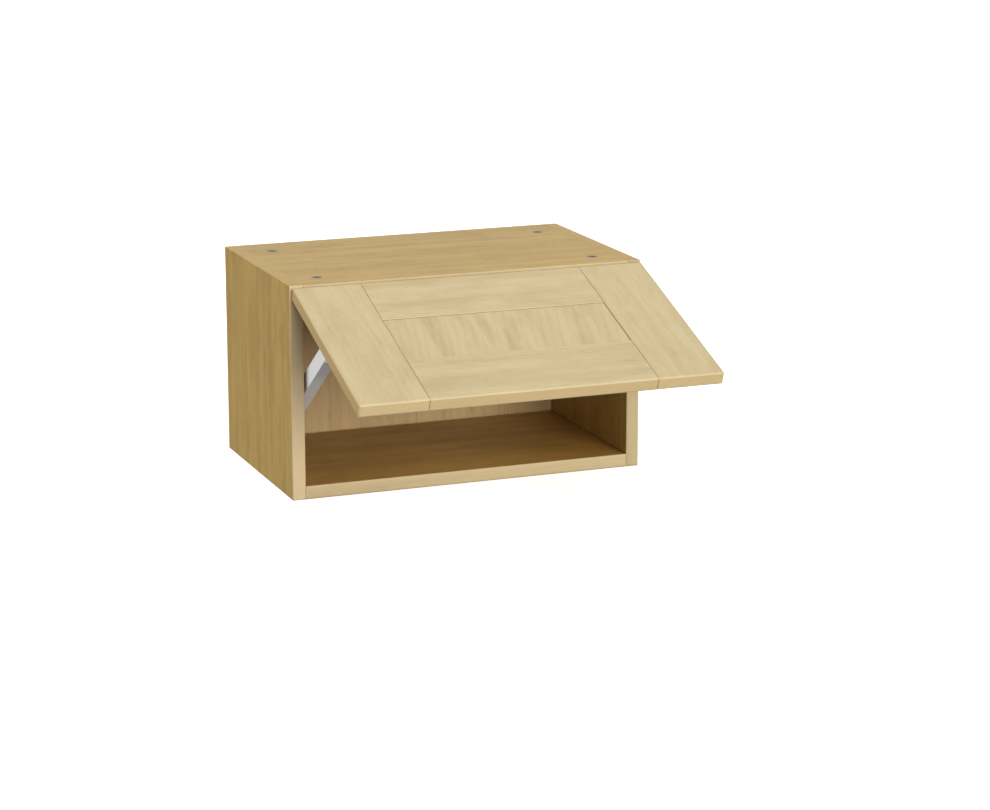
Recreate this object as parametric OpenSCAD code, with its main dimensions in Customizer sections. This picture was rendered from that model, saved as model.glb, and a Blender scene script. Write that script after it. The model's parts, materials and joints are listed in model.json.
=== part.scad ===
// Wall cabinet with a framed lift-up flap, two cup hinges and a friction stay.
// The origin is the middle of the underside: +X is to the right, +Y towards the wall, +Z up.
// The flap is drawn shut and then turned to its open, stored position.

/* [Carcass] */
// Width over the two side panels
carcass_w = 500; // [400:10:900]
// Depth from the wall to the front edges
carcass_d = 300; // [280:10:400]
// Height of the side panels
carcass_h = 290; // [280:10:450]
// Thickness of the four carcass boards
board_t = 18; // [16:1:22]
// Thickness of the edging strip on each front edge
edging_t = 1; // [0.8:0.1:2]
// Thickness of the back panel
back_t = 8; // [6:1:10]
// Free space between the back panel and the wall
rear_void = 22; // [20:1:40]
// Depth of the grooves that hold the back panel
groove_depth = 6; // [4:1:8]

/* [Knock-down fittings] */
// Diameter of a cam lock
cam_d = 15; // [12:1:18]
// Distance from a side panel to the middle of a cam lock
cam_inset = 34; // [24:1:40]
// Distance from the front edges to the front cam locks
cam_from_front = 45; // [35:1:60]
// Distance from the wall to the rear cam locks
cam_from_wall = 56; // [50:1:80]
// Distance from a cam lock to the wood dowel beside it
dowel_step = 32; // [25:1:50]
// Diameter of a wood dowel
dowel_d = 8; // [6:1:8]
// Length of a wood dowel
dowel_len = 32; // [28:1:40]

/* [Flap] */
// Thickness of the flap's frame
flap_t = 18; // [16:1:22]
// Width of the stiles and rails
frame_w = 93; // [60:1:110]
// Margin between the flap and each outer side of the carcass
side_margin = 1.75; // [1:0.25:3]
// Margin between the shut flap and the top of the carcass
top_margin = 4; // [3:0.5:6]
// Margin between the shut flap and the underside of the carcass
bottom_margin = 3; // [1:0.5:6]
// Gap between the shut flap and the front edges
flap_gap = 2.5; // [2.5:0.1:4]
// Thickness of the flap's centre panel
panel_t = 9; // [6:0.5:10]
// Depth of the centre panel's edges behind the frame's face
panel_recess = 3.5; // [2.5:0.5:5]
// Depth of the centre panel's raised field behind the frame's face
field_recess = 1; // [0.5:0.25:2]
// Gap between the raised field and the frame
field_gap = 0.6; // [0.4:0.1:1]
// Depth of the grooves and length of the tongues in the frame
tongue_len = 10; // [8:1:14]
// Length of frame left solid at each outer end of the grooves
groove_stop = 12; // [8:1:20]
// Radius of the flap's outer edges
arris_r = 2.5; // [2.5:0.1:3]
// Depth of the small V where stiles and rails meet
joint_v = 0.6; // [0.3:0.1:1]

/* [Cup hinges] */
// Angle from the shut flap to the open one
open_angle = 70; // [60:1:75]
// Distance of the hinge axis in front of the front edges
pivot_out = 12; // [12:0.5:13]
// Depth of the hinge axis below the top of the carcass
pivot_drop = 12; // [12:0.5:13]
// Distance from an outer side of the carcass to the middle of a hinge
hinge_inset = 56; // [54:1:58]
// Diameter of the cup bore in a stile
cup_d = 35; // [35:1:36]
// Depth of the hinge cup in the flap
cup_depth = 13.5; // [13.5:0.25:14]
// Wood left between the cup bore and the flap's top edge
cup_edge = 3; // [3:0.5:4]
// Diameter of the hinge pin
hinge_pin_d = 3; // [2.5:0.5:3]
// Width of the hinge arm
hinge_arm_w = 11; // [8:1:12]
// Length of the arm's first leg, from the pin out of the cup
arm_leg = 12; // [11:0.5:12]
// Length of the straight part of the arm behind the front edges
arm_len = 52; // [48:1:60]
// Thickness of the mounting plate under the top panel
plate_t = 4; // [3:0.5:5]

/* [Stay] */
// Width of the stay's channel bar
bar_w = 18; // [16:1:20]
// Depth of the channel bar
bar_depth = 22; // [20:1:24]
// Wall of the channel bar
bar_wall = 1.5; // [1:0.1:2]
// Gap between the left side panel and the bar
bar_side_gap = 3.5; // [3.5:0.5:6]
// Distance of the bar's pivot from the flap's top edge
bar_pin_drop = 96; // [92:1:100]
// Distance of the bar's pivot from the flap's back face
bar_pin_out = 15; // [14:0.5:17]
// Distance of the guide's axle behind the front edges
axle_back = 72; // [66:1:80]
// Depth of the guide's axle below the top of the carcass
axle_drop = 157; // [150:1:160]
// Gap between the bar's open edges and the guide's axle
axle_gap = 1.5; // [1.5:0.5:3]
// Diameter of the guide's axle
axle_d = 8; // [6:1:8]
// Length of the guide along the bar
guide_len = 14; // [10:1:16]
// Length of the plug in the bar's free end
plug_len = 5; // [4:1:6]

/* [Wall hangers] */
// Height of a hanger plate
hanger_h = 60; // [50:1:80]
// Width of the hanger's flange that faces the wall
hanger_w = 34; // [30:1:40]
// Sheet thickness of the hangers and brackets
sheet_t = 2; // [1.5:0.1:3]
// Distance from the top panel to the hanger
hanger_drop = 10; // [5:1:30]
// Diameter of the hole that a wall screw's head enters
keyhole_d = 10; // [9:0.5:12]
// Width of the slot above that hole
keyhole_slot = 5; // [4:0.5:6]

/* [Hidden] */
$fn = 48;

// Clearances
fit = 0.05;          // round parts in their bores, all round
loose = 0.3;         // parts that slide or turn past each other
slack = 0.5;         // panels in the bottom of their grooves
over = 1;            // how far a cutting shape runs past a face

// Carcass faces
half_w = carcass_w / 2;
inner_x = half_w - board_t;
front_y = -carcass_d / 2;
wall_y = carcass_d / 2;
inner_top = carcass_h - board_t;
back_y = wall_y - rear_void - back_t;

// Cam locks, bolts and dowels
cam_x = inner_x - cam_inset;
cam_ys = [front_y + cam_from_front, wall_y - cam_from_wall];
dowel_ys = [cam_ys[0] + dowel_step, cam_ys[1] - dowel_step];
cam_below_bolt = 3.6;
cam_h = board_t / 2 + cam_below_bolt;
bolt_d = 6;
bolt_head_d = 6.6;
bolt_head_len = 3;
bolt_thread_d = 5;
bolt_thread_len = 11;
bolt_collar_len = 3;
bolt_z_top = carcass_h - board_t / 2;
bolt_z_bottom = board_t / 2;
dowel_in_side = 11;

// Flap, drawn shut
flap_w = carcass_w - 2 * side_margin;
flap_back = front_y - flap_gap;
flap_front = flap_back - flap_t;
flap_top = carcass_h - top_margin;
flap_bottom = bottom_margin;
frame_x = flap_w / 2 - frame_w;
panel_front = flap_front + panel_recess;
hinge_y = front_y - pivot_out;
hinge_z = carcass_h - pivot_drop;

// Cup hinges
hinge_x = half_w - hinge_inset;
cup_clear = 0.2;
cup_r = cup_d / 2 - cup_clear;
cup_wall = 0.8;
cup_z = flap_top - cup_edge - cup_d / 2;
flange_t = 1.2;
flange_over_pin = 3.3;
wing_w = 62;
wing_h = 14;
cup_screw_step = 24;
eye_wall = 1.2;
eye_r = hinge_pin_d / 2 + eye_wall;
leg_t = 2;
arm_t = 6;
arm_z = inner_top - plate_t - arm_t / 2;
arm_front = front_y + 3;
plate_front = front_y + 12;
plate_screw_y = front_y + 37;
plate_screw_step = 16;
plate_wing_w = 2 * plate_screw_step + 12;
plate_wing_h = 14;
plate_rim = 1;
wing_r = 5;
cup_flange_w = 3;
arm_screw_y = front_y + 22;

// Stay, worked out from the two pivots
bar_x = -inner_x + bar_side_gap;
bar_mid_x = bar_x + bar_w / 2;
pin_shut = [flap_back + bar_pin_out, flap_top - bar_pin_drop];
pin_open = about_hinge(pin_shut, -open_angle);
axle = [front_y + axle_back, carcass_h - axle_drop];
axle_offset = bar_depth / 2 + axle_gap + axle_d / 2;
pin_to_axle = norm(axle - pin_open);
bar_reach = sqrt(pin_to_axle * pin_to_axle - axle_offset * axle_offset);
bar_tilt = atan2(axle_offset, bar_reach) - atan2(axle[1] - pin_open[1], axle[0] - pin_open[0]);
bar_len = bar_reach + guide_len / 2 + loose + plug_len;
bar_pin_d = 5;
web_start = 30;
bar_pin_head = 3;
bar_pin_head_t = 1.5;
bar_pin_rivet = 2;
bar_pin_rivet_t = 0.8;
guide_w = bar_w - 2 * bar_wall - 2 * loose;
guide_start = bar_mid_x - guide_w / 2 - loose;
guide_end = bar_mid_x + guide_w / 2 + loose;
collar_d = 2 * (axle_offset - bar_depth / 2 - loose);
washer_t = 1;

// Brackets of the stay
bracket_t = 2.5;
side_bracket_h = 60;
side_bracket_w = 24;
side_screw_step = 20;
side_bracket_r = 6;
ear_gap = 0.6;
ear_x = bar_x + bar_w + ear_gap;
ear_r = 7;
foot_w = 20;
foot_h = 36;
flap_screw_step = 11;

// Bumper pads
bumper_d = 8;
bumper_seat = 1;
bumper_inset = 10;

// Wall hangers
hanger_top = inner_top - hanger_drop;
hanger_mid = hanger_top - hanger_h / 2;
hanger_face = wall_y - slack;
hanger_arm = 16;
hanger_screw_step = 20;

// Screws
screw_d = 3.5;
screw_head_d = 7;
screw_head_h = 1.8;
screw_recess = 1;
screw_cross = 0.55;   // width of the cross recess over the screw head's diameter
cam_cross = 0.6;      // width of the cross recess over the cam's diameter
arm_screw_end = 1;
hanger_screw_len = 14;
plate_screw_len = 14;
arm_screw_len = plate_t + arm_t - arm_screw_end;
cup_screw_len = 13;
side_screw_len = 14;
flap_screw_len = 14;

function about_hinge(p, angle) = [
    hinge_y + (p[0] - hinge_y) * cos(angle) - (p[1] - hinge_z) * sin(angle),
    hinge_z + (p[0] - hinge_y) * sin(angle) + (p[1] - hinge_z) * cos(angle)];

// ---- Small shapes that repeat ----

// A block given by its lowest and highest corners.
module block(low, high) {
    translate(low) cube(high - low);
}

// A cylinder along X that starts at x and is len long.
module rod_x(d, len) {
    rotate([0, 90, 0]) cylinder(d = d, h = len);
}

// A cylinder along +Y.
module rod_y(d, len) {
    rotate([-90, 0, 0]) cylinder(d = d, h = len);
}

// A flat plate with round corners, lying on Z = 0.
module round_plate(w, h, r, t) {
    linear_extrude(t) {
        square([w - 2 * r, h], center = true);
        square([w, h - 2 * r], center = true);
        for (sx = [-1, 1], sy = [-1, 1])
            translate([sx * (w / 2 - r), sy * (h / 2 - r)]) circle(r);
    }
}

// A countersunk screw: its head's top face is at Z = 0 and its tip points down.
module screw(len, extra = 0) {
    cut = extra > 0 ? over : 0;
    difference() {
        union() {
            translate([0, 0, -len]) cylinder(d = screw_d + 2 * extra, h = len);
            translate([0, 0, -screw_head_h])
                cylinder(d1 = screw_d + 2 * extra, d2 = screw_head_d + 2 * extra, h = screw_head_h);
            if (cut > 0) cylinder(d = screw_head_d + 2 * extra, h = cut);
        }
        if (cut == 0) cross_recess(screw_head_d * screw_cross, screw_recess);
    }
}

// The cross-shaped recess in a screw or cam head, cut down from Z = 0.
module cross_recess(w, depth) {
    blade = w / 4;
    for (a = [0, 90]) rotate([0, 0, a])
        translate([-w / 2, -blade / 2, -depth]) cube([w, blade, depth + over]);
}

// The same shape on the left and on the right.
module both_sides() {
    children();
    mirror([1, 0, 0]) children();
}

// Carries what is drawn on the shut flap to the open flap.
module opened() {
    translate([0, hinge_y, hinge_z]) rotate([-open_angle, 0, 0])
        translate([0, -hinge_y, -hinge_z]) children();
}

// The bar's own frame: +Y runs from its pivot to its free end and +Z to its open side.
module on_bar() {
    translate([bar_mid_x, pin_open[0], pin_open[1]]) rotate([-bar_tilt, 0, 0]) children();
}

// ---- Carcass boards ----

// The left side panel without the bores for the stay.
module side_board() {
    difference() {
        block([-half_w, front_y + edging_t, 0], [-inner_x, wall_y, carcass_h]);
        back_groove();
        for (z = [bolt_z_top, bolt_z_bottom]) {
            for (y = cam_ys)
                translate([-inner_x - bolt_thread_len - slack, y, z])
                    rod_x(bolt_thread_d + 2 * fit, bolt_thread_len + slack + over);
            for (y = dowel_ys)
                translate([-inner_x - dowel_in_side - slack, y, z])
                    rod_x(dowel_d + 2 * fit, dowel_in_side + slack + over);
        }
        hanger_screw_places() screw(hanger_screw_len, fit);
    }
}

// The ring-shaped groove that takes the back panel's four edges.
module back_groove() {
    block([-inner_x - groove_depth, back_y - fit, board_t - groove_depth],
        [inner_x + groove_depth, back_y + back_t + fit, inner_top + groove_depth]);
}

module side_panel_left() {
    color("BurlyWood") difference() {
        side_board();
        side_screw_places() screw(side_screw_len, fit);
    }
}

module side_panel_right() {
    color("BurlyWood") mirror([1, 0, 0]) side_board();
}

// A top or bottom board: z is its lower face, and face_z and down give the cams' face and side.
module cross_board(z, face_z, down) {
    bolt_z = z + board_t / 2;
    difference() {
        block([-inner_x, front_y + edging_t, z], [inner_x, wall_y, z + board_t]);
        back_groove();
        both_sides() {
            for (y = cam_ys) {
                translate([-cam_x, y, face_z]) rotate([down ? 0 : 180, 0, 0])
                    translate([0, 0, -cam_h - slack]) cylinder(d = cam_d + 2 * fit, h = cam_h + slack + over);
                translate([-inner_x - over, y, bolt_z]) rod_x(bolt_head_d + 2 * loose, cam_inset + over);
            }
            for (y = dowel_ys)
                translate([-inner_x - over, y, bolt_z])
                    rod_x(dowel_d + 2 * fit, dowel_len - dowel_in_side + slack + over);
        }
    }
}

module top_panel() {
    color("BurlyWood") difference() {
        cross_board(inner_top, carcass_h, true);
        both_sides() plate_screw_places() screw(plate_screw_len, fit);
    }
}

module bottom_panel() {
    color("BurlyWood") cross_board(0, 0, false);
}

module back_panel() {
    reach_x = inner_x + groove_depth - slack;
    color("Tan") block([-reach_x, back_y, board_t - groove_depth],
        [reach_x, back_y + back_t, inner_top + groove_depth - slack]);
}

module edging_left() {
    color("Wheat") block([-half_w, front_y, 0], [-inner_x, front_y + edging_t, carcass_h]);
}

module edging_right() {
    color("Wheat") mirror([1, 0, 0]) block([-half_w, front_y, 0], [-inner_x, front_y + edging_t, carcass_h]);
}

module edging_top() {
    color("Wheat") block([-inner_x, front_y, inner_top], [inner_x, front_y + edging_t, carcass_h]);
}

module edging_bottom() {
    color("Wheat") block([-inner_x, front_y, 0], [inner_x, front_y + edging_t, board_t]);
}

// ---- Cam locks, bolts and dowels ----

// One cam lock, head up at Z = 0, with the pocket for its bolt's head towards -X.
module cam_lock() {
    difference() {
        translate([0, 0, -cam_h]) cylinder(d = cam_d, h = cam_h);
        translate([-cam_d, 0, -board_t / 2]) rod_x(bolt_head_d + 2 * loose, cam_d + bolt_head_len);
        cross_recess(cam_d * cam_cross, 2 * screw_recess);
    }
}

module cam_locks_top() {
    color("Gray") both_sides() for (y = cam_ys)
        translate([-cam_x, y, carcass_h]) cam_lock();
}

module cam_locks_bottom() {
    color("Gray") both_sides() for (y = cam_ys)
        translate([-cam_x, y, 0]) rotate([180, 0, 0]) cam_lock();
}

// One connecting bolt, screwed into the side panel and hooked into its cam.
module cam_bolt() {
    head_start = cam_inset - bolt_head_len / 2;
    translate([-bolt_thread_len, 0, 0]) rod_x(bolt_thread_d, bolt_thread_len);
    rod_x(bolt_d, bolt_collar_len);
    rod_x(bolt_thread_d, head_start);
    translate([head_start, 0, 0]) rod_x(bolt_head_d, bolt_head_len);
}

module cam_bolts() {
    color("Silver") both_sides() for (y = cam_ys, z = [bolt_z_top, bolt_z_bottom])
        translate([-inner_x, y, z]) cam_bolt();
}

module carcass_dowels() {
    color("Wheat") both_sides() for (y = dowel_ys, z = [bolt_z_top, bolt_z_bottom])
        translate([-inner_x - dowel_in_side, y, z]) rod_x(dowel_d, dowel_len);
}

// ---- Wall hangers in the space behind the back panel ----

// Heads face +X, into the void, on the left side panel.
module hanger_screw_places() {
    for (s = [-1, 1])
        translate([-inner_x + sheet_t, hanger_face - hanger_arm / 2, hanger_mid + s * hanger_screw_step])
            rotate([0, 90, 0]) children();
}

module hanger() {
    hole_x = -inner_x + sheet_t + hanger_w / 2;
    difference() {
        union() {
            block([-inner_x, hanger_face - hanger_arm, hanger_top - hanger_h],
                [-inner_x + sheet_t, hanger_face, hanger_top]);
            block([-inner_x, hanger_face - sheet_t, hanger_top - hanger_h],
                [-inner_x + sheet_t + hanger_w, hanger_face, hanger_top]);
        }
        hanger_screw_places() screw(hanger_screw_len, fit);
        translate([hole_x, hanger_face - sheet_t - over, hanger_mid]) rod_y(keyhole_d, sheet_t + 2 * over);
        block([hole_x - keyhole_slot / 2, hanger_face - sheet_t - over, hanger_mid],
            [hole_x + keyhole_slot / 2, hanger_face + over, hanger_mid + keyhole_d]);
        translate([hole_x, hanger_face - sheet_t - over, hanger_mid + keyhole_d])
            rod_y(keyhole_slot, sheet_t + 2 * over);
    }
}

module hanger_left() {
    color("Silver") hanger();
}

module hanger_right() {
    color("Silver") mirror([1, 0, 0]) hanger();
}

module hanger_screws() {
    color("Silver") both_sides() hanger_screw_places() screw(hanger_screw_len);
}

// ---- Cup hinges ----

// Heads face down, under the top panel, on the left hinge.
module plate_screw_places() {
    for (s = [-1, 1])
        translate([-hinge_x + s * plate_screw_step, plate_screw_y, inner_top - plate_t])
            rotate([180, 0, 0]) children();
}

module arm_screw_place() {
    translate([-hinge_x, arm_screw_y, arm_z - arm_t / 2]) rotate([180, 0, 0]) children();
}

module hinge_plate() {
    difference() {
        union() {
            block([-hinge_x - hinge_arm_w / 2 - plate_rim, plate_front, inner_top - plate_t],
                [-hinge_x + hinge_arm_w / 2 + plate_rim, front_y + arm_len, inner_top]);
            translate([-hinge_x, plate_screw_y, inner_top - plate_t])
                round_plate(plate_wing_w, plate_wing_h, wing_r, plate_t);
        }
        plate_screw_places() screw(plate_screw_len, fit);
        arm_screw_place() screw(arm_screw_len, fit);
    }
}

module hinge_plate_left() {
    color("Silver") hinge_plate();
}

module hinge_plate_right() {
    color("Silver") mirror([1, 0, 0]) hinge_plate();
}

module hinge_plate_screws() {
    color("Silver") both_sides() plate_screw_places() screw(plate_screw_len);
}

// A flat strip from point a to point b with round ends.
module strip(a, b) {
    run = b - a;
    translate(a) rotate(atan2(run[1], run[0])) translate([0, -leg_t / 2]) square([norm(run), leg_t]);
    for (p = [a, b]) translate(p) circle(d = leg_t);
}

// The cranked arm: from the eye in the cup, under the top panel's edge, to its plate.
module hinge_arm() {
    eye = [hinge_y, hinge_z];
    knee = eye + arm_leg * [cos(open_angle), -sin(open_angle)];
    shoulder = [arm_front + leg_t, arm_z];
    difference() {
        translate([-hinge_x - hinge_arm_w / 2, 0, 0]) rotate([90, 0, 90]) linear_extrude(hinge_arm_w) {
            difference() {
                union() {
                    translate(eye) circle(eye_r);
                    strip(eye, knee);
                }
                translate(eye) circle(d = hinge_pin_d + 2 * fit);
            }
            strip(knee, shoulder);
            translate([arm_front, arm_z - arm_t / 2]) square([front_y + arm_len - arm_front, arm_t]);
        }
        arm_screw_place() screw(arm_screw_len, fit);
    }
}

module hinge_arm_left() {
    color("LightGray") hinge_arm();
}

module hinge_arm_right() {
    color("LightGray") mirror([1, 0, 0]) hinge_arm();
}

module hinge_arm_screws() {
    color("Silver") both_sides() arm_screw_place() screw(arm_screw_len);
}

// The round space inside a cup, from its floor out past the flange.
module cup_space() {
    translate([-hinge_x, flap_back - cup_depth + cup_wall, cup_z])
        rod_y(2 * (cup_r - cup_wall), cup_depth + flange_t + over);
}

module cup_screw_places() {
    for (s = [-1, 1])
        translate([-hinge_x + s * cup_screw_step, flap_back + flange_t, cup_z]) rotate([-90, 0, 0]) children();
}

module hinge_cup() {
    difference() {
        union() {
            translate([-hinge_x, flap_back - cup_depth, cup_z]) rod_y(2 * cup_r, cup_depth);
            intersection() {
                union() {
                    translate([-hinge_x, flap_back + flange_t, cup_z])
                        rotate([90, 0, 0]) round_plate(wing_w, wing_h, wing_r, flange_t);
                    translate([-hinge_x, flap_back, cup_z]) rod_y(cup_d + cup_flange_w, flange_t);
                }
                block([-half_w, flap_back, 0], [0, flap_back + flange_t, hinge_z + flange_over_pin]);
            }
        }
        cup_space();
        cup_screw_places() screw(cup_screw_len, fit);
    }
}

module hinge_cup_left() {
    color("Silver") opened() hinge_cup();
}

module hinge_cup_right() {
    color("Silver") opened() mirror([1, 0, 0]) hinge_cup();
}

module hinge_pins() {
    color("Gray") opened() both_sides() intersection() {
        translate([-hinge_x - cup_r, hinge_y, hinge_z]) rod_x(hinge_pin_d, 2 * cup_r);
        cup_space();
    }
}

module hinge_cup_screws() {
    color("Silver") opened() both_sides() cup_screw_places() screw(cup_screw_len);
}

// ---- Flap ----

// A rectangle with round corners, as an outline.
module round_rect(low, high, r) {
    translate(low + [0, r]) square(high - low - [0, 2 * r]);
    translate(low + [r, 0]) square(high - low - [2 * r, 0]);
    for (x = [low[0] + r, high[0] - r], y = [low[1] + r, high[1] - r]) translate([x, y]) circle(r);
}

// The whole flap as one slab with every outer edge rounded.
module flap_blank() {
    half = flap_w / 2;
    intersection() {
        translate([-half, 0, 0]) rotate([90, 0, 90]) linear_extrude(flap_w)
            round_rect([flap_front, flap_bottom], [flap_back, flap_top], arris_r);
        translate([0, 0, flap_bottom]) linear_extrude(flap_top - flap_bottom)
            round_rect([-half, flap_front], [half, flap_back], arris_r);
        translate([0, flap_back, 0]) rotate([90, 0, 0]) linear_extrude(flap_t)
            round_rect([-half, flap_bottom], [half, flap_top], arris_r);
    }
}

// The small V along each joint line and along the edges around the centre panel.
module joint_vees() {
    side = joint_v * sqrt(2);
    for (x = [-frame_x, frame_x]) {
        for (y = [flap_front, flap_back])
            translate([x, y, flap_bottom]) rotate([0, 0, 45]) translate([-side / 2, -side / 2, 0])
                cube([side, side, flap_top - flap_bottom]);
        for (z = [flap_bottom, flap_top])
            translate([x, flap_front, z]) rotate([0, 45, 0]) translate([-side / 2, 0, -side / 2])
                cube([side, flap_t, side]);
    }
    for (y = [flap_front, flap_back], z = [flap_bottom + frame_w, flap_top - frame_w])
        translate([-frame_x, y, z]) rotate([45, 0, 0]) translate([0, -side / 2, -side / 2])
            cube([2 * frame_x, side, side]);
}

// The space for the centre panel and the tongues, grown by the slack and the fit.
module frame_groove(stop) {
    block([-frame_x - tongue_len, panel_front - fit, flap_bottom + stop],
        [frame_x + tongue_len, panel_front + panel_t + fit, flap_top - stop]);
}

module stile() {
    difference() {
        intersection() {
            flap_blank();
            block([-half_w, flap_front, flap_bottom], [-frame_x, flap_back, flap_top]);
        }
        frame_groove(groove_stop);
        joint_vees();
        translate([-hinge_x, flap_back - cup_depth - slack, cup_z]) rod_y(cup_d, cup_depth + slack + over);
        cup_screw_places() screw(cup_screw_len, fit);
        bumper_places() cylinder(d = bumper_d + 2 * fit, h = bumper_seat + over);
    }
}

module stile_left() {
    color("BurlyWood") opened() difference() {
        stile();
        flap_screw_places() screw(flap_screw_len, fit);
    }
}

module stile_right() {
    color("BurlyWood") opened() mirror([1, 0, 0]) stile();
}

// The bottom rail, drawn shut: a board between the stiles with a tongue at each end.
module rail() {
    tongue_low = flap_bottom + groove_stop + slack;
    tongue_high = flap_bottom + frame_w - tongue_len;
    difference() {
        union() {
            intersection() {
                flap_blank();
                block([-frame_x, flap_front, flap_bottom], [frame_x, flap_back, flap_bottom + frame_w]);
            }
            block([-frame_x - tongue_len + slack, panel_front, tongue_low],
                [frame_x + tongue_len - slack, panel_front + panel_t, tongue_high]);
        }
        block([-frame_x - tongue_len, panel_front - fit, flap_bottom + frame_w - tongue_len],
            [frame_x + tongue_len, panel_front + panel_t + fit, flap_bottom + frame_w + over]);
        joint_vees();
    }
}

module rail_bottom() {
    color("BurlyWood") opened() rail();
}

module rail_top() {
    color("BurlyWood") opened() translate([0, 0, flap_top + flap_bottom]) mirror([0, 0, 1]) rail();
}

// The floating panel: its thin edges lie in the frame's grooves and its raised field fills the opening.
module centre_panel() {
    reach = tongue_len - slack;
    color("Wheat") opened() {
        block([-frame_x - reach, panel_front, flap_bottom + frame_w - reach],
            [frame_x + reach, panel_front + panel_t, flap_top - frame_w + reach]);
        block([-frame_x + field_gap, flap_front + field_recess, flap_bottom + frame_w + field_gap],
            [frame_x - field_gap, panel_front + over, flap_top - frame_w - field_gap]);
    }
}

// The seats of the small pads that meet the side panels when the flap shuts.
module bumper_places() {
    translate([-half_w + bumper_inset, flap_back - bumper_seat, flap_bottom + 2 * bumper_inset])
        rotate([-90, 0, 0]) children();
}

module flap_bumpers() {
    color("WhiteSmoke") opened() both_sides() bumper_places()
        cylinder(d = bumper_d, h = bumper_seat + flap_gap - loose);
}

// ---- Stay ----

// Heads face +X on the left side panel.
module side_screw_places() {
    for (s = [-1, 1])
        translate([-inner_x + bracket_t, axle[0], axle[1] + s * side_screw_step])
            rotate([0, 90, 0]) children();
}

module stay_side_bracket() {
    color("Silver") difference() {
        translate([-inner_x, axle[0], axle[1]]) rotate([90, 0, 90])
            round_plate(side_bracket_w, side_bracket_h, side_bracket_r, bracket_t);
        side_screw_places() screw(side_screw_len, fit);
    }
}

module stay_side_screws() {
    color("Silver") side_screw_places() screw(side_screw_len);
}

// The guide's axle, with a collar against the bracket and a head at its free end.
module stay_axle() {
    start = -inner_x + bracket_t;
    color("Gray") translate([0, axle[0], axle[1]]) {
        translate([start, 0, 0]) rod_x(axle_d, guide_end + washer_t - start);
        translate([start, 0, 0]) rod_x(collar_d, guide_start - start);
        translate([guide_end + washer_t, 0, 0]) rod_x(collar_d, washer_t);
    }
}

module stay_axle_washer() {
    color("Silver") translate([guide_end, axle[0], axle[1]]) difference() {
        rod_x(collar_d, washer_t);
        translate([-over, 0, 0]) rod_x(axle_d + 2 * fit, washer_t + 2 * over);
    }
}

// The sliding block inside the bar and the ear that turns on the axle.
module stay_guide() {
    low = -bar_depth / 2 + bar_wall + loose;
    color("DimGray") on_bar() translate([-guide_w / 2, bar_reach, 0]) difference() {
        union() {
            translate([0, -guide_len / 2, low]) cube([guide_w, guide_len, axle_offset - low]);
            translate([0, 0, axle_offset]) rod_x(guide_len, guide_w);
        }
        translate([-over, 0, axle_offset]) rod_x(axle_d + 2 * fit, guide_w + 2 * over);
    }
}

// The channel bar: two cheeks with round ends at the pivot, and a web that starts further down.
module stay_bar() {
    r = bar_depth / 2;
    color("WhiteSmoke") on_bar() difference() {
        translate([-bar_w / 2, 0, 0]) {
            rod_x(bar_depth, bar_w);
            translate([0, 0, -r]) cube([bar_w, bar_len, bar_depth]);
        }
        translate([-bar_w / 2 + bar_wall, -r - over, -r + bar_wall])
            cube([bar_w - 2 * bar_wall, bar_len + r + 2 * over, bar_depth + over]);
        translate([-bar_w / 2 + bar_wall, -r - over, -r - over])
            cube([bar_w - 2 * bar_wall, web_start + r + over, bar_depth]);
        translate([-bar_w / 2 - over, 0, 0]) rod_x(bar_pin_d + 2 * fit, bar_w + 2 * over);
    }
}

module stay_end_plug() {
    low = -bar_depth / 2 + bar_wall;
    color("DimGray") on_bar()
        translate([-bar_w / 2 + bar_wall + fit, bar_len - plug_len, low])
            cube([bar_w - 2 * bar_wall - 2 * fit, plug_len, bar_depth - bar_wall]);
}

// Heads face the cabinet on the flap's left stile.
module flap_screw_places() {
    for (s = [-1, 1])
        translate([ear_x + bracket_t + (foot_w - bracket_t) / 2, flap_back + bracket_t,
            pin_shut[1] + s * flap_screw_step]) rotate([-90, 0, 0]) children();
}

module stay_flap_bracket() {
    color("Silver") opened() difference() {
        union() {
            block([ear_x, flap_back, pin_shut[1] - foot_h / 2],
                [ear_x + foot_w, flap_back + bracket_t, pin_shut[1] + foot_h / 2]);
            block([ear_x, flap_back, pin_shut[1] - ear_r], [ear_x + bracket_t, pin_shut[0], pin_shut[1] + ear_r]);
            translate([ear_x, pin_shut[0], pin_shut[1]]) rod_x(2 * ear_r, bracket_t);
        }
        translate([ear_x - over, pin_shut[0], pin_shut[1]]) rod_x(bar_pin_d + 2 * fit, bracket_t + 2 * over);
        flap_screw_places() screw(flap_screw_len, fit);
    }
}

module stay_flap_screws() {
    color("Silver") opened() flap_screw_places() screw(flap_screw_len);
}

// The pin through the ear and both cheeks, with a head at each end.
module stay_pivot_pin() {
    start = bar_x - loose;
    color("Silver") opened() translate([0, pin_shut[0], pin_shut[1]]) {
        translate([start, 0, 0]) rod_x(bar_pin_d, ear_x + bracket_t - start);
        translate([start - bar_pin_rivet_t, 0, 0]) rod_x(bar_pin_d + bar_pin_rivet, bar_pin_rivet_t);
        translate([ear_x + bracket_t, 0, 0]) rod_x(bar_pin_d + bar_pin_head, bar_pin_head_t);
    }
}

side_panel_left();
side_panel_right();
top_panel();
bottom_panel();
back_panel();
edging_left();
edging_right();
edging_top();
edging_bottom();
cam_locks_top();
cam_locks_bottom();
cam_bolts();
carcass_dowels();
hanger_left();
hanger_right();
hanger_screws();
hinge_plate_left();
hinge_plate_right();
hinge_plate_screws();
hinge_arm_left();
hinge_arm_right();
hinge_arm_screws();
stay_side_bracket();
stay_side_screws();
stay_axle();
stay_axle_washer();
stile_left();
stile_right();
rail_top();
rail_bottom();
centre_panel();
hinge_cup_left();
hinge_cup_right();
hinge_pins();
hinge_cup_screws();
stay_flap_bracket();
stay_flap_screws();
stay_pivot_pin();
flap_bumpers();
stay_bar();
stay_end_plug();
stay_guide();
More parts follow.
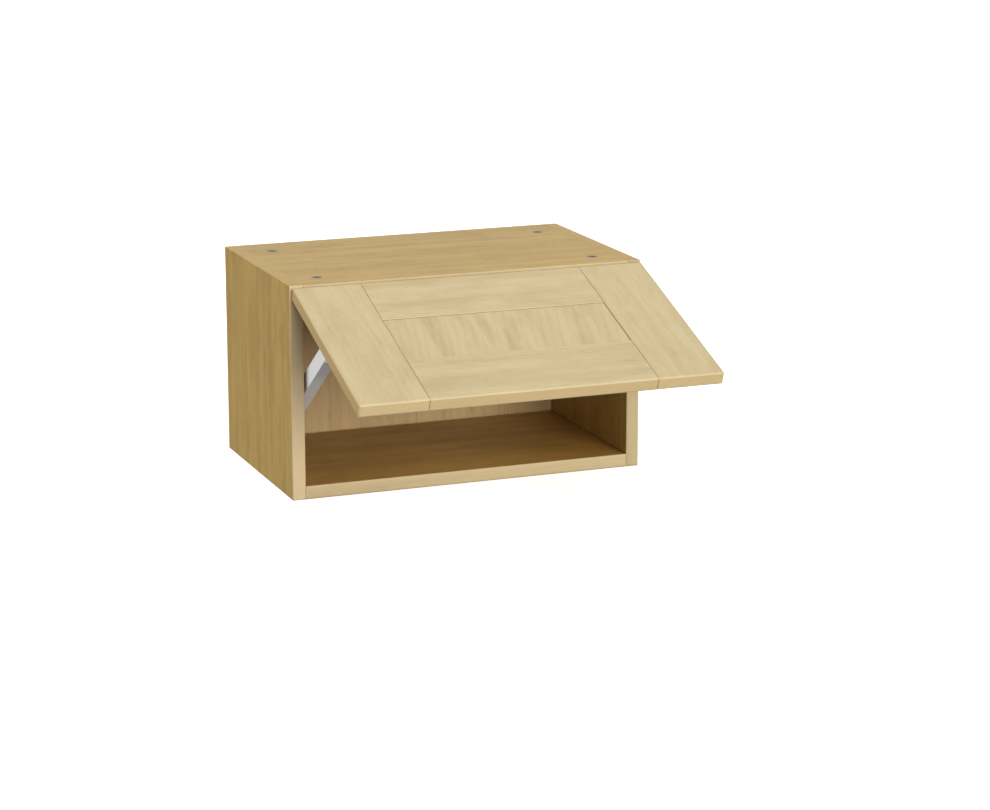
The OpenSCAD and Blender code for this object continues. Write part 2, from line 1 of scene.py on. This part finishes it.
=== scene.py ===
import json
from math import cos, pi, radians, sin

import bmesh
import bpy
import numpy as np
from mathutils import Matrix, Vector


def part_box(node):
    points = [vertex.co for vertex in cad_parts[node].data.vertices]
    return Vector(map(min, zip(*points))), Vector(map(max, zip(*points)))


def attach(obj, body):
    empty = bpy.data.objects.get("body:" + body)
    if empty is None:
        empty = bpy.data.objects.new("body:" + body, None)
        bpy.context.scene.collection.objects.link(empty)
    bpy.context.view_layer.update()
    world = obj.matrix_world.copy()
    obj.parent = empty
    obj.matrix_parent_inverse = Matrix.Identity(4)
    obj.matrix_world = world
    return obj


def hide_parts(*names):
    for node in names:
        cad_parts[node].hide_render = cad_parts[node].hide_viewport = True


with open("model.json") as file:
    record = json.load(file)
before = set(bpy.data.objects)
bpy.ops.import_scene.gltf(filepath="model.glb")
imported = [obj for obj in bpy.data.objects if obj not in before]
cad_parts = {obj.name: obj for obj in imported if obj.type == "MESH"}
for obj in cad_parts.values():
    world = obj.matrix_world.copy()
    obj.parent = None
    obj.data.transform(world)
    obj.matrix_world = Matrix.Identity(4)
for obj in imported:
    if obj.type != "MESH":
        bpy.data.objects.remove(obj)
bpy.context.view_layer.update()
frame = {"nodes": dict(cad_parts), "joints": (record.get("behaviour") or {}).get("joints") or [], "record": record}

# A lift-up wall cabinet: pale lacquered birch boards, a framed flap held open by a grey friction stay.
# Metres; the origin is the middle of the underside, +X to the right, +Y to the wall, +Z up.

MM = 0.001
nodes = frame["nodes"]
body_of = {node: body for body, members in frame["record"]["behaviour"]["bodies"].items() for node in members}
slot_of = {part["node"]: part["material_slot"] for part in frame["record"]["subparts"]}
hinge = next(joint for joint in frame["joints"] if joint["name"] == "flap_hinge")
open_angle = -radians(hinge["range_deg"][0])
joint_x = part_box("stile_right")[0].x    # where the stiles meet the rails, left and right of the middle


# ---- Materials ----

PLAIN = (1.0, 1.0, 1.0)    # a board of its kind's own tone
SEAM_AND_SHADE = "#7E5622"           # brown of glue and lacquer in a joint, also used as painted shade in corners and narrow gaps


def linear(code, tone=PLAIN):
    """An sRGB hex colour as linear RGBA, with its red, green and blue multiplied by tone."""
    values = [int(code[i:i + 2], 16) / 255 for i in (1, 3, 5)]
    straight = [v / 12.92 if v <= 0.04045 else ((v + 0.055) / 1.055) ** 2.4 for v in values]
    return [v * share for v, share in zip(straight, tone)] + [1.0]


def add(tree, kind, sockets=None, **settings):
    """Adds a node: settings are its options, sockets its inputs, each a value or another node's output to link."""
    node = tree.nodes.new(kind)
    for name, value in settings.items():
        setattr(node, name, value)
    for name, value in (sockets or {}).items():
        if isinstance(value, bpy.types.NodeSocket):
            tree.links.new(value, node.inputs[name])
        else:
            node.inputs[name].default_value = value
    return node


def new_material(name):
    """An empty node material: its tree and its shader, joined to the output."""
    material = bpy.data.materials.new(name)
    material.use_nodes = True
    tree = material.node_tree
    tree.nodes.clear()
    shader = add(tree, "ShaderNodeBsdfPrincipled")
    add(tree, "ShaderNodeOutputMaterial", {"Surface": shader.outputs["BSDF"]})
    return material, tree, shader


def grain_layer(tree, board, length, width, detail, low, high):
    """Noise drawn out along the grain, length by width in millimetres, as a mask that rises from low to high."""
    stretched = add(tree, "ShaderNodeMapping", {
        "Vector": board, "Scale": (1 / (length * MM), 1 / (width * MM), 1 / (width * MM))})
    noise = add(tree, "ShaderNodeTexNoise", {
        "Vector": stretched.outputs["Vector"], "Scale": 1.0, "Detail": detail, "Roughness": 0.6})
    mask = add(tree, "ShaderNodeMapRange", {
        "Value": noise.outputs["Fac"], "From Min": low, "From Max": high}, interpolation_type="SMOOTHSTEP")
    return mask.outputs["Result"]


def tinted(tree, under, over, mask, amount):
    """The colour under, turned towards the colour over by amount where the mask is full."""
    share = add(tree, "ShaderNodeMath", {0: mask, 1: amount}, operation="MULTIPLY")
    mix = add(tree, "ShaderNodeMix", {0: share.outputs["Value"], 6: under, 7: over}, data_type="RGBA")
    return mix.outputs[2]


def arris_mask(tree, reach):
    """A mask that is full on edges and fades out over reach millimetres: how far the surface's own direction is
    from its direction once the edge is rounded that much, none up to 6 degrees and full from 31."""
    rounded = add(tree, "ShaderNodeBevel", {"Radius": reach * MM}, samples=4)
    flat = add(tree, "ShaderNodeNewGeometry")
    same = add(tree, "ShaderNodeVectorMath", {0: rounded.outputs["Normal"], 1: flat.outputs["True Normal"]},
               operation="DOT_PRODUCT")
    mask = add(tree, "ShaderNodeMapRange", {"Value": same.outputs["Value"], "From Min": 0.995, "From Max": 0.86})
    return mask.outputs["Result"]


def painted_shade_mask(tree, reach):
    """A painted-shade mask: full in corners and narrow gaps, where the surface sees little within reach millimetres,
    for darkening the colour where shade falls.
    """
    nook = add(tree, "ShaderNodeAmbientOcclusion", {"Distance": reach * MM}, samples=6)
    mask = add(tree, "ShaderNodeMapRange", {"Value": nook.outputs["AO"], "From Min": 0.85, "From Max": 0.35})
    return mask.outputs["Result"]


def birch(name, turn, shift, body, light, dark, end, streaks, clouds, arches, flank=None, glued=False, tone=PLAIN):
    """Birch under satin lacquer, planed solid wood or sliced veneer: a quiet cream ground with long paler bands,
    short brown flecks that follow the grain, soft clouds where the figure turns, and fine pores that catch light.
    Its edges are a little paler than the faces, from sanding and handling and as a painted highlight along the
    arrises, and its corners and narrow gaps are browner with painted shade.
    A flank colour is for the narrow long faces, and tone sets one board a little off the others: for some boards
    their own tone, for others painted shade where they sit in shade.
    turn and shift carry the object's coordinates to the board's own, with X along the grain.
    A glued board is browner in the small V of its joints, where lacquer and glue gather."""
    material, tree, shader = new_material(name)
    body, light, dark, end = (linear(code, tone) for code in (body, light, dark, end))
    coords = add(tree, "ShaderNodeTexCoord")
    board = add(tree, "ShaderNodeMapping", {
        "Vector": coords.outputs["Object"], "Rotation": turn, "Location": shift}).outputs["Vector"]
    # The grain sways by up to 6 mm over about 110 mm.
    drift = add(tree, "ShaderNodeTexNoise", {"Vector": board, "Scale": 9.0, "Detail": 1.0})
    swayed = add(tree, "ShaderNodeVectorMath", {0: drift.outputs["Color"], 1: (0.0, 6 * MM, 6 * MM)},
                 operation="MULTIPLY")
    moved = add(tree, "ShaderNodeVectorMath", {0: board, 1: swayed.outputs["Vector"]}, operation="ADD")
    waved = moved.outputs["Vector"]

    # Length and width of each figure in millimetres. Real pores are finer than 0.5 mm and would not show.
    bands = grain_layer(tree, waved, 480, 17, 3.0, 0.34, 0.66)
    flecks = grain_layer(tree, waved, 34, 2.0, 2.5, 0.53, 0.74)
    threads = grain_layer(tree, waved, 130, 1.5, 2.0, 0.48, 0.76)
    patches = grain_layer(tree, waved, 75, 30, 2.5, 0.45, 0.68)
    pores = grain_layer(tree, waved, 7, 0.5, 1.0, 0.52, 0.74)

    colour = tinted(tree, body, light, bands, 1.0)
    colour = tinted(tree, colour, dark, patches, clouds)
    colour = tinted(tree, colour, dark, threads, streaks * 0.6)
    colour = tinted(tree, colour, dark, flecks, streaks)
    colour = tinted(tree, colour, dark, pores, 0.16)
    if arches:    # rings about a point off the board, 6 mm apart across the grain and 34 mm along it: tall arcs
        far = add(tree, "ShaderNodeMapping", {"Vector": waved, "Scale": (28.0, 150.0, 150.0),
                                              "Location": (4.5, 1.5, 0.0)})
        rings = add(tree, "ShaderNodeTexWave", {"Vector": far.outputs["Vector"], "Scale": 0.33,
                                                "Distortion": 2.2, "Detail": 2.0, "Detail Scale": 0.7},
                    wave_type="RINGS", rings_direction="SPHERICAL")
        line = add(tree, "ShaderNodeMapRange", {"Value": rings.outputs["Fac"], "From Min": 0.55, "From Max": 1.0},
                   interpolation_type="SMOOTHSTEP")
        colour = tinted(tree, colour, dark, line.outputs["Result"], arches)

    facing = add(tree, "ShaderNodeMapping", {"Vector": coords.outputs["Normal"], "Rotation": turn})
    along = add(tree, "ShaderNodeSeparateXYZ", {"Vector": facing.outputs["Vector"]})
    ends = add(tree, "ShaderNodeMath", {0: along.outputs["X"]}, operation="ABSOLUTE")
    cut = add(tree, "ShaderNodeMapRange", {"Value": ends.outputs["Value"], "From Min": 0.6, "From Max": 0.9})
    colour = tinted(tree, colour, end, cut.outputs["Result"], 0.65)
    if flank:
        beside = add(tree, "ShaderNodeMath", {0: along.outputs["Z"]}, operation="ABSOLUTE")
        long_side = add(tree, "ShaderNodeMapRange", {
            "Value": beside.outputs["Value"], "From Min": 0.8, "From Max": 0.97})
        colour = tinted(tree, colour, linear(flank), long_side.outputs["Result"], 0.85)
    if glued:
        across = add(tree, "ShaderNodeSeparateXYZ", {"Vector": coords.outputs["Object"]})
        out = add(tree, "ShaderNodeMath", {0: across.outputs["X"]}, operation="ABSOLUTE")
        gap = add(tree, "ShaderNodeMath", {0: out.outputs["Value"], 1: joint_x, 2: 0.7 * MM}, operation="COMPARE")
        colour = tinted(tree, colour, linear(SEAM_AND_SHADE), gap.outputs["Value"], 0.35)
    # Paler edges: wear from sanding and handling, and a painted highlight along the arrises.
    colour = tinted(tree, colour, light, arris_mask(tree, 1.1), 0.5)
    # Painted shade: corners and narrow gaps turned brown, where little light reaches.
    colour = tinted(tree, colour, linear(SEAM_AND_SHADE), painted_shade_mask(tree, 4.0), 0.85)
    tree.links.new(colour, shader.inputs["Base Color"])

    gloss = add(tree, "ShaderNodeMapRange", {"Value": pores, "To Min": 0.44, "To Max": 0.62})
    tree.links.new(gloss.outputs["Result"], shader.inputs["Roughness"])
    relief = add(tree, "ShaderNodeMath", {0: pores, 1: flecks}, operation="ADD")
    bump = add(tree, "ShaderNodeBump", {"Height": relief.outputs["Value"], "Strength": 0.25, "Distance": 0.05 * MM},
               invert=True)
    tree.links.new(bump.outputs["Normal"], shader.inputs["Normal"])
    shader.inputs["Specular IOR Level"].default_value = 0.35
    return material


def mottled(name, base, other, edge, grain, rough, relief, metallic, glassy=0.0):
    """A surface without direction: its colour and gloss drift between two values over patches of several grains,
    and a fine relief of grain millimetres breaks up its highlights. Its edges are turned towards the colour edge:
    rubbed paler where that colour is lighter, and painted shade where it is darker, as on the cast zinc's rim.
    base, other and edge are hex colours."""
    material, tree, shader = new_material(name)
    spot = add(tree, "ShaderNodeTexCoord").outputs["Object"]
    fine = add(tree, "ShaderNodeTexNoise", {"Vector": spot, "Scale": 1 / (grain * MM), "Detail": 2.0})
    broad = add(tree, "ShaderNodeTexNoise", {"Vector": spot, "Scale": 1 / (9 * grain * MM), "Detail": 3.0})
    colour = add(tree, "ShaderNodeMix", {0: broad.outputs["Fac"], 6: linear(base), 7: linear(other)},
                 data_type="RGBA")
    gloss = add(tree, "ShaderNodeMapRange", {"Value": broad.outputs["Fac"], "From Min": 0.3, "From Max": 0.7,
                                             "To Min": rough - 0.07, "To Max": rough + 0.07})
    bump = add(tree, "ShaderNodeBump", {"Height": fine.outputs["Fac"], "Strength": 0.4, "Distance": relief * MM})
    # Edges tinted towards the edge colour: rubbed wear where it is paler, painted shade where it is darker.
    rubbed_and_shaded = tinted(tree, colour.outputs[2], linear(edge), arris_mask(tree, 0.4), 0.6)
    tree.links.new(rubbed_and_shaded, shader.inputs["Base Color"])
    tree.links.new(gloss.outputs["Result"], shader.inputs["Roughness"])
    tree.links.new(bump.outputs["Normal"], shader.inputs["Normal"])
    shader.inputs["Metallic"].default_value = metallic
    shader.inputs["Transmission Weight"].default_value = glassy
    return material


# Turns that bring a board's grain to X: the carcass's upright and level boards, and the same in the open flap.
UPRIGHT = (0.0, pi / 2, 0.0)
FLAT = (0.0, 0.0, 0.0)
FLAP_UPRIGHT = (open_angle, pi / 2, 0.0)
FLAP_FLAT = (open_angle, 0.0, 0.0)

# Sliced veneer on the carcass: browner than the flap, its flecks long and close.
veneer = dict(body="#A88A47", light="#B5954E", dark="#775623", end="#AD904C", streaks=0.26, clouds=0.20, arches=0)
# Solid planed boards of the flap frame: cream, with faint short flecks.
solid = dict(body="#B3A27C", light="#BAAA85", dark="#8D7144", end="#BEA575", streaks=0.22, clouds=0.15, arches=0)
# Their narrow long faces are tinted tanner.
stile = dict(solid, flank="#B3935C")
rail = dict(solid, flank="#BAA172")
# The floating panel: the same wood cut flat, so it shows clouds and faint arches.
figured = dict(body="#B4A27C", light="#BAAA83", dark="#8E7042", end="#A48E63", streaks=0.09, clouds=0.20, arches=0.10)
# The back panel: thin ply with fine upright grain.
ply = dict(body="#B39462", light="#BC9F6D", dark="#826232", end="#9D7F4C", streaks=0.40, clouds=0.10, arches=0)
# Edging strips: plain, nearly without figure.
lipping = dict(body="#BDA67A", light="#C5AF81", dark="#9A7E4F", end="#B9A275", streaks=0.16, clouds=0.06, arches=0)
# Dowels: compressed beech rod.
rod = dict(body="#D9B987", light="#E2C495", dark="#A9824F", end="#C39C66", streaks=0.3, clouds=0.1, arches=0)

woods = {
    "side_panel_left": (UPRIGHT, veneer), "side_panel_right": (UPRIGHT, veneer),
    "top_panel": (FLAT, veneer), "bottom_panel": (FLAT, veneer), "back_panel": (UPRIGHT, ply),
    "edging_left": (UPRIGHT, lipping), "edging_right": (UPRIGHT, lipping),
    "edging_top": (FLAT, lipping), "edging_bottom": (FLAT, lipping),
    "stile_left": (FLAP_UPRIGHT, stile), "stile_right": (FLAP_UPRIGHT, stile),
    "rail_top": (FLAP_FLAT, rail), "rail_bottom": (FLAP_FLAT, rail),
    "centre_panel": (FLAP_UPRIGHT, figured), "carcass_dowels": (FLAT, rod)}

finishes = {
    # Nickel-plated steel: a warm, fairly sharp shine with faint clouds from polishing.
    "hinge_nickel": mottled("nickel_plated_steel", "#C9C6BF", "#BDB9B1", "#DAD8D3", 0.6, 0.26, 0.004, 1.0),
    # Zinc-plated sheet: a cooler, softer shine.
    "bracket_zinc": mottled("zinc_plated_sheet", "#BFC1C3", "#AFB1B4", "#D2D3D4", 0.8, 0.36, 0.006, 1.0),
    # Zinc-plated screws and pins: as the sheet, a little duller.
    "fastener_steel": mottled("zinc_plated_fastener", "#B4B5B6", "#9FA0A2", "#C8C9CA", 0.5, 0.38, 0.006, 1.0),
    # Die-cast zinc: dark, grainy and nearly matt; its rim is painted darker, the shade in the gap round it.
    "cam_zinc": mottled("die_cast_zinc", "#8A8782", "#75726D", "#4A4742", 0.5, 0.48, 0.02, 1.0),
    # Powder coat on steel: light grey, with the small dimples of baked powder.
    "stay_paint": mottled("grey_powder_coat", "#E4E4E4", "#DEDEDF", "#EAEAEA", 0.9, 0.40, 0.03, 0.0),
    # Moulded nylon: near black, with a fine spark-eroded surface.
    "stay_plastic": mottled("moulded_nylon", "#1C1C1E", "#26262A", "#303034", 0.4, 0.52, 0.02, 0.0),
    # Cast polyurethane pads: half clear and soft-looking.
    "bumper_plastic": mottled("clear_polyurethane", "#E9E7DF", "#E0DDD2", "#EFEDE6", 0.7, 0.30, 0.01, 0.0,
                              glassy=0.5)}

# Boards tinted off the rest of their kind: the left edging strip a little cooler, the bottom one darker.
# The top and right edging strips are darker as painted shade, where the open flap and the light leave them dim,
# and the bottom panel and right side are darker and redder as painted shade inside the cabinet.
tints_and_painted_shade = {
    "edging_left": (0.99, 1.0, 1.08), "edging_top": (0.80, 0.80, 0.80), "edging_right": (0.76, 0.76, 0.76),
    "edging_bottom": (0.82, 0.82, 0.82), "bottom_panel": (1.0, 0.86, 0.82), "side_panel_right": (1.0, 0.96, 0.98)}

for order, (node, (turn, look)) in enumerate(woods.items()):
    along_log = (0.37 * order, 0.11 * order, 0.07 * order)    # metres, so no two boards show the same figure
    finishes[node] = birch(f"birch_{node}", turn, along_log, glued=node.startswith(("stile", "rail")),
                           tone=tints_and_painted_shade.get(node, PLAIN), **look)


def dress(obj, node):
    """Gives a piece the finish of the CAD node it is, or stands for."""
    obj.data.materials.clear()
    obj.data.materials.append(finishes.get(node) or finishes[slot_of[node]])
    return obj


def place(obj, *stands_for):
    """Puts a new piece in the scene on the body of the nodes it stands for, with their finish and slot."""
    first = stands_for[0]
    bpy.context.scene.collection.objects.link(obj)
    dress(obj, first)
    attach(obj, body_of[first])
    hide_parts(*stands_for)
    return obj


# ---- Pieces ----

LONG_EDGE = 100 * MM    # the stay bar's folds and lips are longer than this, the edges of its ends shorter


def eased(node, name, width, least=0.0, bend=0.0):
    """A merged copy of a CAD node with its square edges taken off by width. Edges shorter than least stay sharp.
    With bend, the long outer edges, the folds and lips of bent sheet, are rounded by that much instead."""
    mesh = nodes[node].data.copy()
    mesh.name = name
    work = bmesh.new()
    work.from_mesh(mesh)
    bmesh.ops.remove_doubles(work, verts=work.verts, dist=1e-6)
    bmesh.ops.dissolve_limit(work, angle_limit=radians(0.6), verts=work.verts, edges=work.edges)
    weight = work.edges.layers.float.new("bevel_weight_edge")
    widest = max(width, bend)
    for edge in work.edges:
        square = edge.is_manifold and edge.calc_face_angle() > radians(50)
        if square and edge.calc_length() > least:
            outer = bend and edge.calc_length() > LONG_EDGE and edge.calc_face_angle_signed() > 0
            edge[weight] = 1.0 if outer else width / widest
    for face in work.faces:
        face.smooth = True
    work.to_mesh(mesh)
    work.free()
    mesh.set_sharp_from_angle(angle=radians(30))
    piece = bpy.data.objects.new(name, mesh)
    arris = piece.modifiers.new("arris", "BEVEL")
    arris.limit_method = "WEIGHT"
    arris.width = widest
    arris.segments = 3
    arris.use_clamp_overlap = False
    evened = piece.modifiers.new("evened", "WEIGHTED_NORMAL")
    evened.keep_sharp = True
    return place(piece, node)


def surface(name, grid):
    """A mesh from a grid of points, ring after ring of them: each point is joined to the next round its ring and to
    the same point of the next ring, and the first and the last ring are capped."""
    index = np.arange(grid.shape[0] * grid.shape[1]).reshape(grid.shape[:2])
    after = np.roll(index, -1, axis=1)
    quads = np.stack([index[:-1], after[:-1], after[1:], index[1:]], axis=-1).reshape(-1, 4)
    mesh = bpy.data.meshes.new(name)
    faces = quads.tolist() + [index[0][::-1].tolist(), index[-1].tolist()]
    mesh.from_pydata(grid.reshape(-1, 3).tolist(), [], faces)
    work = bmesh.new()
    work.from_mesh(mesh)
    bmesh.ops.remove_doubles(work, verts=work.verts, dist=1e-7)
    bmesh.ops.recalc_face_normals(work, faces=work.faces)
    work.to_mesh(mesh)
    work.free()
    mesh.shade_smooth()
    mesh.set_sharp_from_angle(angle=radians(40))
    return mesh


def lipped(node, name, arris, steps=6):
    """An edging strip: its back is square and each front corner is a quarter ellipse, arris wide and as deep as
    the strip. The outline is carried along the strip's length, and its last bit at each end is drawn in a little."""
    low, high = (np.array(c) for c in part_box(node))
    run = 0 if high[0] - low[0] > high[2] - low[2] else 2
    side = 2 - run
    depth = high[1] - low[1]
    t = np.linspace(0, pi / 2, steps)
    left = np.stack([low[side] + arris * (1 - np.sin(t)), low[1] + depth * (1 - np.cos(t))], axis=-1)[::-1]
    right = np.stack([high[side] - arris * (1 - np.sin(t)), low[1] + depth * (1 - np.cos(t))], axis=-1)
    outline = np.concatenate([left, right])
    centre = outline.mean(axis=0)
    draw = 0.15 * MM    # how far the ends are drawn in, and over what length
    stations = [(low[run], draw), (low[run] + draw, 0.0), (high[run] - draw, 0.0), (high[run], draw)]
    rings = np.zeros((len(stations), len(outline), 3))
    for ring, (at, inward) in zip(rings, stations):
        ring[:, side] = outline[:, 0] - np.sign(outline[:, 0] - centre[0]) * inward
        ring[:, 1] = np.maximum(outline[:, 1], low[1] + inward)
        ring[:, run] = at
    return place(bpy.data.objects.new(name, surface(name, rings)), node)


for node in ("side_panel_left", "side_panel_right", "top_panel", "bottom_panel", "back_panel"):
    eased(node, f"{node}_board", 0.5 * MM, least=4 * MM)
for node in ("edging_left", "edging_right", "edging_top", "edging_bottom"):
    lipped(node, f"{node}_strip", 0.9 * MM)
for node in ("cam_locks_top", "cam_locks_bottom"):
    eased(node, f"{node}_cast", 0.25 * MM)
for node in ("hinge_plate_left", "hinge_plate_right", "hinge_arm_left", "hinge_arm_right", "hinge_cup_left",
             "hinge_cup_right", "hanger_left", "hanger_right", "stay_side_bracket", "stay_flap_bracket"):
    eased(node, f"{node}_pressed", 0.25 * MM)
for node in ("hanger_screws", "hinge_plate_screws", "hinge_arm_screws", "stay_side_screws", "hinge_cup_screws",
             "stay_flap_screws", "stay_axle", "stay_pivot_pin"):
    eased(node, f"{node}_turned", 0.12 * MM)
for node in ("stay_end_plug", "stay_guide"):
    eased(node, f"{node}_moulded", 0.3 * MM)
eased("flap_bumpers", "flap_bumpers_cast", 0.8 * MM)
eased("stay_bar", "stay_bar_channel", 0.2 * MM, bend=1.6 * MM)

for node, obj in nodes.items():
    if not obj.hide_render:
        dress(obj, node)


# ---- Floor, light and camera ----

FLOOR_REACH = 9.0          # metres each way, past the edge of any view
FLOOR_DROP = 0.3 * MM      # a hair under the boards, so the two never share a plane


def paper_floor():
    """A level sheet of white paper on a lit table: a square grid of points at one height."""
    span = np.linspace(-FLOOR_REACH, FLOOR_REACH, 13)
    x, y = np.meshgrid(span, span, indexing="ij")
    grid = np.stack([x, y, np.full_like(x, -FLOOR_DROP)], axis=-1)
    index = np.arange(grid.shape[0] * grid.shape[1]).reshape(grid.shape[:2])
    quads = np.stack([index[:-1, :-1], index[1:, :-1], index[1:, 1:], index[:-1, 1:]], axis=-1).reshape(-1, 4)
    mesh = bpy.data.meshes.new("floor")
    mesh.from_pydata(grid.reshape(-1, 3).tolist(), [], quads.tolist())
    floor = bpy.data.objects.new("floor", mesh)
    paper = mottled("white_paper", "#FAFAFA", "#F4F4F4", "#FAFAFA", 4.0, 0.9, 0.05, 0.0)
    shader = next(node for node in paper.node_tree.nodes if node.type == "BSDF_PRINCIPLED")
    shader.inputs["Emission Color"].default_value = linear("#FFFFFF")
    shader.inputs["Emission Strength"].default_value = 0.5
    floor.data.materials.append(paper)
    bpy.context.scene.collection.objects.link(floor)
    floor.visible_diffuse = False    # a real table is small: it hardly lights the cabinet from below
    floor.visible_glossy = False     # nor does it shine in the lacquer


def soft_light(name, azimuth, elevation, level, spread):
    """A large, far, white soft box. Azimuth is from the front towards the right, level is how bright white paper
    that faces it looks, and spread is its width; angles are in degrees."""
    lamp = bpy.data.lights.new(name, "SUN")
    lamp.energy = level * pi
    lamp.angle = radians(spread)
    obj = bpy.data.objects.new(name, lamp)
    a, e = radians(azimuth), radians(elevation)
    back = Vector((sin(a) * cos(e), -cos(a) * cos(e), sin(e)))
    obj.location = 3.0 * back
    obj.rotation_euler = back.to_track_quat("Z", "Y").to_euler()
    bpy.context.scene.collection.objects.link(obj)


paper_floor()
# Most of the light is low and from the front, with less from both sides and a little from above and behind.
soft_light("front", 10, 8, 1.20, 40)
soft_light("right", 65, 20, 0.42, 40)
soft_light("left", -100, 35, 0.74, 50)
soft_light("over", 0, 55, 0.11, 40)
soft_light("behind", 160, 15, 0.07, 40)

world = bpy.data.worlds.new("studio")
world.use_nodes = True
sky = world.node_tree.nodes["Background"]
sky.inputs["Color"].default_value = linear("#FFFFFF")
sky.inputs["Strength"].default_value = 0.32
bpy.context.scene.world = world
bpy.context.scene.view_settings.view_transform = "Standard"

# The camera stands 4 m off, to the front left and a little above, with a long lens.
AZIMUTH = radians(-21.38)
ELEVATION = radians(13.81)
lens = bpy.data.cameras.new("camera")
lens.sensor_width = 36.0
lens.lens = 106.26
camera = bpy.data.objects.new("camera", lens)
toward_camera = Vector((sin(AZIMUTH) * cos(ELEVATION), -cos(AZIMUTH) * cos(ELEVATION), sin(ELEVATION)))
camera.location = (-1.3615, -3.7234, 1.0484)
camera.rotation_euler = toward_camera.to_track_quat("Z", "Y").to_euler()
bpy.context.scene.collection.objects.link(camera)
bpy.context.scene.camera = camera
